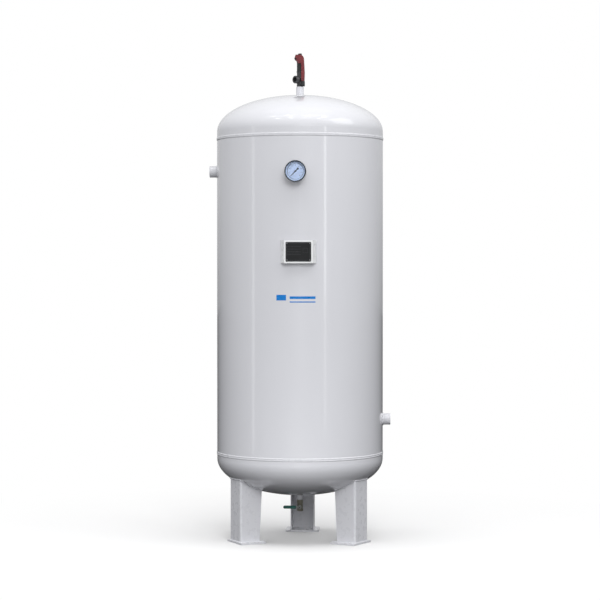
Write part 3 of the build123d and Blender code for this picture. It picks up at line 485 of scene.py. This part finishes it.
# Welds
seams = {"ripplePitch": 5.0 * mm, "rippleDepth": 0.6 * mm, "around": 2000, "across": 13,
         "bands": [("top_seam_weld", seamHigh, 3.0, 0.35), ("bottom_seam_weld", seamLow, 8.0, 0.75)]}


def makeSeams(s):
    tree = seamTree()
    for node, z, seed, groove in s["bands"]:
        band = grow(emptySource(node + "Source"), tree, {
            "Radius": shellR, "Height": z, "Band Width": bandWidth, "Crown": bandCrown,
            "Groove": groove, "Ripple Pitch": s["ripplePitch"], "Ripple Depth": s["rippleDepth"],
            "Around": s["around"], "Across": s["across"], "Seed": seed,
            "Material": materials["fittingPaint"]}, node + "Beads")
        place(band, "receiver")
        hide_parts(node)


beads = {"legRadius": 3.6 * mm, "socketRadius": 3.4 * mm, "step": 1.2 * mm, "pitch": 4.0 * mm, "depth": 0.09,
         "cornerRadius": 10 * mm, "longRadius": 5.2 * mm, "longSink": 3.4 * mm,
         "tackRadius": 2.2 * mm, "tackLength": 16 * mm, "tackInset": 8 * mm}


# Height of the bottom head's outside surface at radius r
def headHeight(r):
    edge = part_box("bottom_head")[1].z - bottomFlange
    return edge - headRise * math.sqrt(max(0.0, 1 - (r / shellR) ** 2))


# The outside of a leg's channel, from one flange edge round the web to the other
def channelOutline(inner, outer, half, corner):
    side = [(inner + (outer - corner - inner) * i / 12, half) for i in range(13)]
    bend = [(outer - corner + corner * math.sin(a), half - corner + corner * math.cos(a))
            for a in (math.radians(15 * k) for k in range(1, 6))]
    web = [(outer, (half - corner) * (1 - i / 6)) for i in range(7)]
    first = side + bend + web
    return first + [(x, -y) for x, y in reversed(first[:-1])]


def legPaths(s):
    legLow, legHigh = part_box("leg_rear")
    footLow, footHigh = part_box("foot_plate_rear")
    half = (legHigh.x - legLow.x) / 2
    offset = s["legRadius"] * 0.25
    low = [(x, y, footHigh.z + offset) for x, y in
           channelOutline(footLow.y, legHigh.y + offset, half + offset, s["cornerRadius"])]
    high = [(x, y, headHeight(math.hypot(x, y)) - offset) for x, y in
            channelOutline(legLow.y, legHigh.y + offset, half + offset, s["cornerRadius"])]
    return [[Matrix.Rotation(math.radians(turn), 4, "Z") @ Vector(p) for p in path]
            for turn in (90, 210, 330) for path in (low, high)]


# The line where a side socket of radius r meets the shell
def socketPath(angle, z, r, steps=72):
    turn = Matrix.Rotation(math.radians(angle), 4, "Z")
    ring = []
    for i in range(steps):
        a = fullTurn * i / steps
        y, up = r * math.cos(a), r * math.sin(a)
        ring.append(turn @ Vector((math.sqrt(shellR ** 2 - y ** 2), y, z + up)))
    return ring


def socketPaths(s):
    out = s["socketRadius"] * 0.35
    paths = [socketPath(180, centreOf("outlet_socket").z, sizeOf("outlet_socket").y / 2 + out),
             socketPath(0, centreOf("inlet_socket").z, sizeOf("inlet_socket").y / 2 + out),
             socketPath(270, centreOf("gauge_socket").z, sizeOf("gauge_socket").x / 2 + out)]
    low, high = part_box("inspection_sockets")
    r = (high.x - low.x) / 2
    paths += [socketPath(90, z, r + out) for z in (low.z + r, high.z - r)]
    for node, surface in (("safety_socket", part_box("top_head")[1].z), ("drain_socket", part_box("bottom_head")[0].z)):
        r = sizeOf(node).x / 2 + out
        paths.append([Vector((r * math.cos(fullTurn * i / 60), r * math.sin(fullTurn * i / 60), surface))
                      for i in range(60)])
    return paths


# Short tacks down both edges of the bracket's feet
def tackPaths(s):
    low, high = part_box("nameplate_bracket")
    middle = (low + high) / 2
    half = (high.x - low.x) / 2 + s["tackRadius"] * 0.2
    turn = Matrix.Rotation(math.atan2(middle.x, -middle.y), 4, "Z")
    depth = math.sqrt(shellR ** 2 - half ** 2)
    paths = []
    for side in (-1, 1):
        for start in (low.z + s["tackInset"], high.z - s["tackInset"] - s["tackLength"]):
            paths.append([turn @ Vector((side * half, -depth, start + s["tackLength"] * i / 4)) for i in range(5)])
    return paths


def makeBeads(s):
    tree = beadTree()
    common = {"Step": s["step"], "Ripple Pitch": s["pitch"], "Ripple Depth": s["depth"],
              "Material": materials["fittingPaint"]}
    legs = grow(polyCurve("legPaths", legPaths(s)), tree,
                {**common, "Bead Radius": s["legRadius"], "Seed": 2.0}, "legWeldBeads")
    place(legs, "receiver")
    rings = grow(polyCurve("socketPaths", socketPaths(s), closed=True), tree,
                 {**common, "Bead Radius": s["socketRadius"], "Seed": 5.0}, "socketWeldBeads")
    place(rings, "receiver")
    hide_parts("socket_welds")
    tacks = grow(polyCurve("tackPaths", tackPaths(s)), tree,
                 {**common, "Bead Radius": s["tackRadius"], "Seed": 7.0}, "bracketTacks")
    place(tacks, "receiver")
    seam = centreOf("long_seam_weld")
    low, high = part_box("long_seam_weld")
    angle = math.atan2(seam.y, seam.x)
    r = shellR - s["longSink"]
    line = [(r * math.cos(angle), r * math.sin(angle), low.z + (high.z - low.z) * i / 8) for i in range(9)]
    along = grow(polyCurve("longPath", [line]), tree,
                 {**common, "Bead Radius": s["longRadius"], "Ripple Depth": 0.03, "Seed": 9.0}, "longSeamBead")
    place(along, "receiver")
    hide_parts("long_seam_weld")


makeSeams(seams)
makeBeads(beads)
print("welds ready")


# Pipe threads in the open ports
threads = {
    "inlet_socket": {"at": "high", "turn": (0, 90, 0), "radius": 22.3, "length": 30, "pitch": 2.309, "ridge": 0.9,
                     "material": "fittingPaint", "slot": "tank_paint"},
    "outlet_socket": {"at": "low", "turn": (0, -90, 0), "radius": 22.3, "length": 30, "pitch": 2.309, "ridge": 0.9,
                      "material": "fittingPaint", "slot": "tank_paint"},
    "valve_body": {"at": "outlet", "turn": (0, -90, 45), "radius": 11.95, "length": 11, "pitch": 1.814, "ridge": 0.6,
                   "material": "valveIron", "slot": "valve_iron"},
    "drain_end_adapter": {"at": "down", "turn": (180, 0, 0), "radius": 9.2, "length": 8, "pitch": 1.814,
                          "ridge": 0.6, "material": "nickelBrass", "slot": "nickel_brass"},
}


mouthInset = 1.6  # a thread starts this far inside its mouth, in mm


def makeThreads(table):
    tree = threadTree()
    boss = next(m for m in frame["record"]["mounts"] if m["name"] == "relief_outlet")
    for node, s in table.items():
        coil = grow(emptySource(node + "Coil"), tree, {
            "Radius": s["radius"] * mm, "Length": s["length"] * mm, "Pitch": s["pitch"] * mm,
            "Ridge": s["ridge"] * mm, "Material": materials[s["material"]]}, node + "Thread")
        low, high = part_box(node)
        middle = (low + high) / 2
        outlet = Vector(boss["pos_m"]) + Vector(boss["axis"]) * boss["dims"]["length_mm"] * mm / 2
        mouth = {"high": (high.x, middle.y, middle.z), "low": (low.x, middle.y, middle.z),
                 "down": (middle.x, middle.y, low.z), "outlet": outlet}[s["at"]]
        turn = [math.radians(v) for v in s["turn"]]
        tilt = Matrix.Rotation(turn[1], 4, "Y") @ Matrix.Rotation(turn[0], 4, "X")
        rotate = Matrix.Rotation(turn[2], 4, "Z") @ tilt
        inwards = Matrix.Translation((0, 0, -(s["length"] + mouthInset) * mm))
        coil.data.transform(Matrix.Translation(mouth) @ rotate @ inwards)
        place(coil, "receiver")


makeThreads(threads)
print("threads ready")


# Gauge dial
dial = {"scaleRadius": 34.5, "longMark": 4.2, "shortMark": 2.2, "markWidth": 0.55, "markHeight": 0.12,
        "steps": 8, "parts": 40, "numberRadius": 27.5, "numberSize": 6.2, "ringWidth": 1.6, "topValue": 16}


# Turns flat work in XY to the front of a gauge part: +X stays, +Y goes up, +Z faces -Y
def frontFrame(node):
    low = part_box(node)[0]
    middle = centreOf(node)
    return Matrix.Translation((middle.x, low.y, middle.z)) @ Matrix.Rotation(math.radians(90), 4, "X")


def ringMesh(name, inner, outer, height, steps=160):
    points, faces = [], []
    for i in range(steps):
        a = fullTurn * i / steps
        for r, z in ((inner, 0), (outer, 0), (outer, height), (inner, height)):
            points.append((r * math.cos(a), r * math.sin(a), z))
    for i in range(steps):
        a, b = 4 * i, 4 * ((i + 1) % steps)
        faces += [(a + k, b + k, b + (k + 1) % 4, a + (k + 1) % 4) for k in range(4)]
    return meshObject(name, points, faces, smooth=False)


def textMesh(name, words, size, depth, spot):
    data = bpy.data.curves.new(name, "FONT")
    data.body = words
    data.size = size
    data.extrude = depth
    data.align_x = "CENTER"
    data.align_y = "CENTER"
    source = link(bpy.data.objects.new(name + "Text", data))
    bpy.context.view_layer.update()
    mesh = bpy.data.meshes.new_from_object(source.evaluated_get(bpy.context.evaluated_depsgraph_get()))
    bpy.data.objects.remove(source)
    mesh.transform(Matrix.Translation((*spot, depth)))
    return mesh


def joinMeshes(name, meshes):
    gathered = bmesh.new()
    for mesh in meshes:
        gathered.from_mesh(mesh)
    bmesh.ops.remove_doubles(gathered, verts=gathered.verts, dist=1e-7)
    bmesh.ops.recalc_face_normals(gathered, faces=gathered.faces)
    data = bpy.data.meshes.new(name)
    gathered.to_mesh(data)
    gathered.free()
    return link(bpy.data.objects.new(name, data))


def makeDial(s):
    tree = tickTree()
    turn = frontFrame("gauge_dial")
    common = {"Arc Radius": s["scaleRadius"] * mm, "Mark Height": s["markHeight"] * mm,
              "Material": materials["inkBlack"]}
    for name, count, length, width in (("dialLongMarks", s["steps"] + 1, s["longMark"], s["markWidth"] * 1.6),
                                       ("dialShortMarks", s["parts"] + 1, s["shortMark"], s["markWidth"])):
        marks = grow(emptySource(name + "Source"), tree, {**common, "Count": count, "Mark Length": length * mm,
                                                          "Mark Width": width * mm}, name)
        marks.data.transform(turn)
        place(marks, "receiver")
    numbers = []
    for i in range(s["steps"] + 1):
        a = math.radians(225 - 270 * i / s["steps"])
        spot = (s["numberRadius"] * mm * math.cos(a), s["numberRadius"] * mm * math.sin(a))
        value = str(s["topValue"] * i // s["steps"])
        numbers.append(textMesh("n" + value, value, s["numberSize"] * mm, s["markHeight"] * mm / 2, spot))
    figures = joinMeshes("dialNumbers", numbers)
    figures.data.transform(turn)
    place(figures, "receiver", materials["inkBlack"])
    rim = ringMesh("dialRing", (s["scaleRadius"] + s["longMark"] / 2) * mm,
                   (s["scaleRadius"] + s["longMark"] / 2 + s["ringWidth"]) * mm, s["markHeight"] * mm)
    rim.data.transform(turn)
    place(rim, "receiver", materials["inkBlue"])


makeDial(dial)
print("dial ready")


# Data plate and sticker
plateArt = {"inset": 5.0, "line": 0.9, "height": 0.12, "corner": 3.0,
            "fields": [(-20, 24, 60, 3.2), (-20, 12, 60, 3.2), (-20, 0, 60, 3.2), (-20, -12, 60, 3.2),
                       (32, 6, 22, 22)]}


# A flat frame with rounded corners: an outer and an inner outline joined by faces
def roundedFrame(width, height, corner, line, rise):
    def outline(w, h, c):
        spots = []
        for sx, sy, start in ((1, 1, 0), (-1, 1, 90), (-1, -1, 180), (1, -1, 270)):
            for k in range(7):
                a = math.radians(start + 15 * k)
                spots.append((sx * (w / 2 - c) + c * math.cos(a), sy * (h / 2 - c) + c * math.sin(a)))
        return spots
    outer, inner = outline(width, height, corner), outline(width - 2 * line, height - 2 * line, corner - line)
    n = len(outer)
    points = [(x, y, z) for z in (0, rise) for ring in (outer, inner) for x, y in ring]
    faces = []
    for i in range(n):
        j = (i + 1) % n
        faces += [(2 * n + i, 2 * n + j, 3 * n + j, 3 * n + i), (i, n + i, n + j, j),
                  (i, j, 2 * n + j, 2 * n + i), (n + i, 3 * n + i, 3 * n + j, n + j)]
    data = bpy.data.meshes.new("frame")
    data.from_pydata(points, [], faces)
    return data


# Turns flat work to the front of the data plate, which sits a little to one side of the tank's axis
def plateFrame():
    low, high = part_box("nameplate")
    middle = (low + high) / 2
    a = math.atan2(middle.x, -middle.y)
    reach = (-low.y - (high.x - low.x) / 2 * math.sin(a)) / math.cos(a)
    turned = Matrix.Rotation(a, 4, "Z") @ Matrix.Translation((0, -reach, middle.z))
    return turned @ Matrix.Rotation(math.radians(90), 4, "X")


def makePlateArt(s):
    size = sizeOf("nameplate")
    turn = plateFrame()
    rise = s["height"] * mm
    parts = [roundedFrame(size.x - 2 * s["inset"] * mm, size.z - 2 * s["inset"] * mm, s["corner"] * mm,
                          s["line"] * mm, rise)]
    for x, y, w, h in s["fields"]:
        field = roundedFrame(w * mm, h * mm, 0.8 * mm, 0.45 * mm, rise)
        field.transform(Matrix.Translation((x * mm, y * mm, 0)))
        parts.append(field)
    art = joinMeshes("plateArt", parts)
    art.data.transform(turn)
    place(art, "receiver", materials["inkGrey"])


sticker = {"height": 1165, "rise": 0.35, "bars": [(-62, 8, 46, 26), (38, 8, 120, 12), (38, -12, 120, 5)],
           "steps": 24, "azimuth": -1.0}


# A thin closed patch that lies on the shell's front
def shellPatch(name, x0, x1, z0, z1, radius, rise, steps):
    points, faces = [], []
    for i in range(steps + 1):
        a = (x0 + (x1 - x0) * i / steps) / radius
        for r in (radius, radius + rise):
            for z in (z0, z1):
                points.append((r * math.sin(a), -r * math.cos(a), z))
    for i in range(steps):
        k = 4 * i
        faces += [(k + 2, k + 6, k + 7, k + 3), (k, k + 1, k + 5, k + 4), (k + 1, k + 3, k + 7, k + 5),
                  (k, k + 4, k + 6, k + 2)]
    faces += [(0, 2, 3, 1), (4 * steps, 4 * steps + 1, 4 * steps + 3, 4 * steps + 2)]
    data = bpy.data.meshes.new(name)
    data.from_pydata(points, [], faces)
    return data


def makeSticker(s):
    parts = []
    for x, z, w, h in s["bars"]:
        parts.append(shellPatch("bar", (x - w / 2) * mm, (x + w / 2) * mm, (s["height"] + z - h / 2) * mm,
                                (s["height"] + z + h / 2) * mm, shellR - 0.1 * mm, s["rise"] * mm, s["steps"]))
    marks = joinMeshes("plainSticker", parts)
    marks.data.transform(Matrix.Rotation(math.radians(s["azimuth"]), 4, "Z"))
    place(marks, "receiver", materials["stickerBlue"])


makePlateArt(plateArt)
makeSticker(sticker)
print("plate and sticker ready")


# Camera, floor and light
camera = {"lens": 112.8, "sensor": 36.0, "distance": 9.09, "height": 1.32, "azimuth": 2.7, "pitch": -1.04,
          "clip": 60.0}


def makeCamera(s):
    data = bpy.data.cameras.new("camera")
    data.lens = s["lens"]
    data.sensor_width = s["sensor"]
    data.clip_end = s["clip"]
    cam = link(bpy.data.objects.new("camera", data))
    a = math.radians(s["azimuth"])
    cam.location = (math.sin(a) * s["distance"], -math.cos(a) * s["distance"], s["height"])
    cam.rotation_euler = (math.radians(90 + s["pitch"]), 0, a)
    scene.camera = cam


# Each lamp: where it stands, what it points at, its two sides in metres and its power
lights = {
    "key": {"at": (1.1, -7.2, 4.0), "aim": (0, 0, 1.2), "size": (2.8, 2.8), "power": 226, "mirrored": False},
    "low": {"at": (0.4, -7.6, 0.9), "aim": (0, 0, 0.4), "size": (2.0, 0.8), "power": 40, "mirrored": False},
    "top": {"at": (0, -0.6, 6.5), "aim": (0, 0, 2.0), "size": (4.0, 4.0), "power": 14},
    "rightTop": {"at": (3.6, -1.4, 4.6), "aim": (0, 0, 1.9), "size": (2.4, 2.4), "power": 36},
    "strip": {"at": (2.94, -4.05, 1.95), "aim": (0, 0, 1.9), "size": (0.24, 1.7), "power": 4.4},
    "stripLow": {"at": (2.94, -4.05, 0.6), "aim": (0, 0, 0.6), "size": (0.24, 1.0), "power": 1.0},
    "stripLeft": {"at": (-4.4, -2.35, 1.4), "aim": (0, 0, 1.4), "size": (0.3, 2.8), "power": 4.0},
    "leftSide": {"at": (-4.6, 0.6, 2.2), "aim": (0, 0, 1.6), "size": (1.6, 2.0), "power": 26, "mirrored": False},
    "rearLeg": {"at": (0.0, -1.4, 0.28), "aim": (0, 0.3, 0.12), "size": (0.5, 0.3), "power": 2.4,
                "mirrored": False},
}
hallLamps = {"columns": 4, "rows": 2, "spacing": 1.7, "firstRow": -1.9, "rowGap": 1.5, "height": 7.0, "side": 0.45,
             "power": 9.0}
# The floor's near-black colour for all but camera rays is painted shade under the tank
studio = {"high": (0.95, 0.95, 0.95), "level": (0.6, 0.605, 0.62), "low": (0.05, 0.05, 0.05),
          "backdrop": (1.0, 1.0, 1.0), "floor": (0.86, 0.86, 0.86), "floorPaintedShade": (0.04, 0.04, 0.04),
          "floorSize": 80, "fadeFrom": 0.6, "fadeTo": 2.2}


def areaLight(name, s):
    data = bpy.data.lights.new(name, "AREA")
    data.shape = "RECTANGLE"
    data.size, data.size_y = s["size"]
    data.energy = s["power"]
    lamp = link(bpy.data.objects.new(name, data))
    lamp.location = s["at"]
    lamp.visible_glossy = s.get("mirrored", True)
    lamp.visible_camera = False
    lamp.rotation_euler = (Vector(s["aim"]) - Vector(s["at"])).to_track_quat("-Z", "Y").to_euler()


# Rows of small ceiling lamps, for the glints on the top head
def makeHallLamps(s):
    for row in range(s["rows"]):
        for column in range(s["columns"]):
            x = (column - (s["columns"] - 1) / 2) * s["spacing"]
            y = s["firstRow"] - row * s["rowGap"]
            areaLight(f"hallLamp{row}{column}", {"at": (x, y, s["height"]), "aim": (x, y, 0),
                                                 "size": (s["side"], s["side"]), "power": s["power"]})


# The hall: bright overhead, dim near the ground; the camera sees plain white
def makeWorld(s):
    world = bpy.data.worlds.new("studio")
    world.use_nodes = True
    tree = world.node_tree
    hall = tree.nodes["Background"]
    direction = tree.nodes.new("ShaderNodeTexCoord").outputs["Generated"]
    up = add(tree, "ShaderNodeSeparateXYZ", {0: direction}).outputs["Z"]
    ramp = add(tree, "ShaderNodeValToRGB", {"Fac": calc(tree, "MULTIPLY_ADD", up, 0.5, 0.5)})
    stops = ramp.color_ramp.elements
    stops[0].position, stops[0].color = 0.46, (*s["low"], 1)
    stops[1].position, stops[1].color = 0.9, (*s["high"], 1)
    middle = stops.new(0.53)
    middle.color = (*s["level"], 1)
    tree.links.new(ramp.outputs["Color"], hall.inputs["Color"])
    seen = add(tree, "ShaderNodeBackground", {"Color": (*s["backdrop"], 1), "Strength": 1.0})
    rays = add(tree, "ShaderNodeLightPath")
    mix = add(tree, "ShaderNodeMixShader", {0: rays.outputs["Is Camera Ray"], 1: hall.outputs[0], 2: seen.outputs[0]})
    tree.links.new(mix.outputs[0], tree.nodes["World Output"].inputs["Surface"])
    scene.world = world


# A pale floor that runs out into the white backdrop; to every ray but camera rays it is near black, a painted shade on
# the bottom head and legs
def makeFloor(s):
    half = s["floorSize"] / 2
    floor = meshObject("floor", [(-half, -half, 0), (half, -half, 0), (half, half, 0), (-half, half, 0)],
                       [(0, 1, 2, 3)])
    mat, tree, shader, coords = newMaterial("floorPaint")
    dust = cloud(tree, coords, 1.2, 3.0)
    pale = blendColour(tree, dust, s["floor"], [v * 0.99 for v in s["floor"]])
    # Painted shade: lamps, bounces and reflections see the floor near black, which darkens the underside of the tank;
    # the camera sees it pale
    rays = add(tree, "ShaderNodeLightPath")
    tint = add(tree, "ShaderNodeMix", data_type="RGBA")
    tree.links.new(rays.outputs["Is Camera Ray"], tint.inputs["Factor"])
    tint.inputs[6].default_value = (*s["floorPaintedShade"], 1)
    tree.links.new(pale, tint.inputs[7])
    tree.links.new(tint.outputs[2], shader.inputs["Base Color"])
    shader.inputs["Roughness"].default_value = 0.8
    shader.inputs["Specular IOR Level"].default_value = 0.1
    glow = add(tree, "ShaderNodeEmission", {"Color": (*s["backdrop"], 1), "Strength": 1.0}).outputs[0]
    far = add(tree, "ShaderNodeVectorMath", {0: coords}, operation="LENGTH").outputs["Value"]
    fade = between(tree, far, 0.0, 1.0, s["fadeFrom"], s["fadeTo"])
    seenFade = calc(tree, "MULTIPLY", fade, rays.outputs["Is Camera Ray"])
    mix = add(tree, "ShaderNodeMixShader", {0: seenFade, 1: shader.outputs[0], 2: glow})
    tree.links.new(mix.outputs[0], tree.nodes["Material Output"].inputs["Surface"])
    floor.data.materials.append(mat)


makeCamera(camera)
makeWorld(studio)
makeFloor(studio)
makeHallLamps(hallLamps)
for lampName, lampSettings in lights.items():
    areaLight(lampName, lampSettings)
scene.view_settings.view_transform = "Standard"
print("camera and light ready")
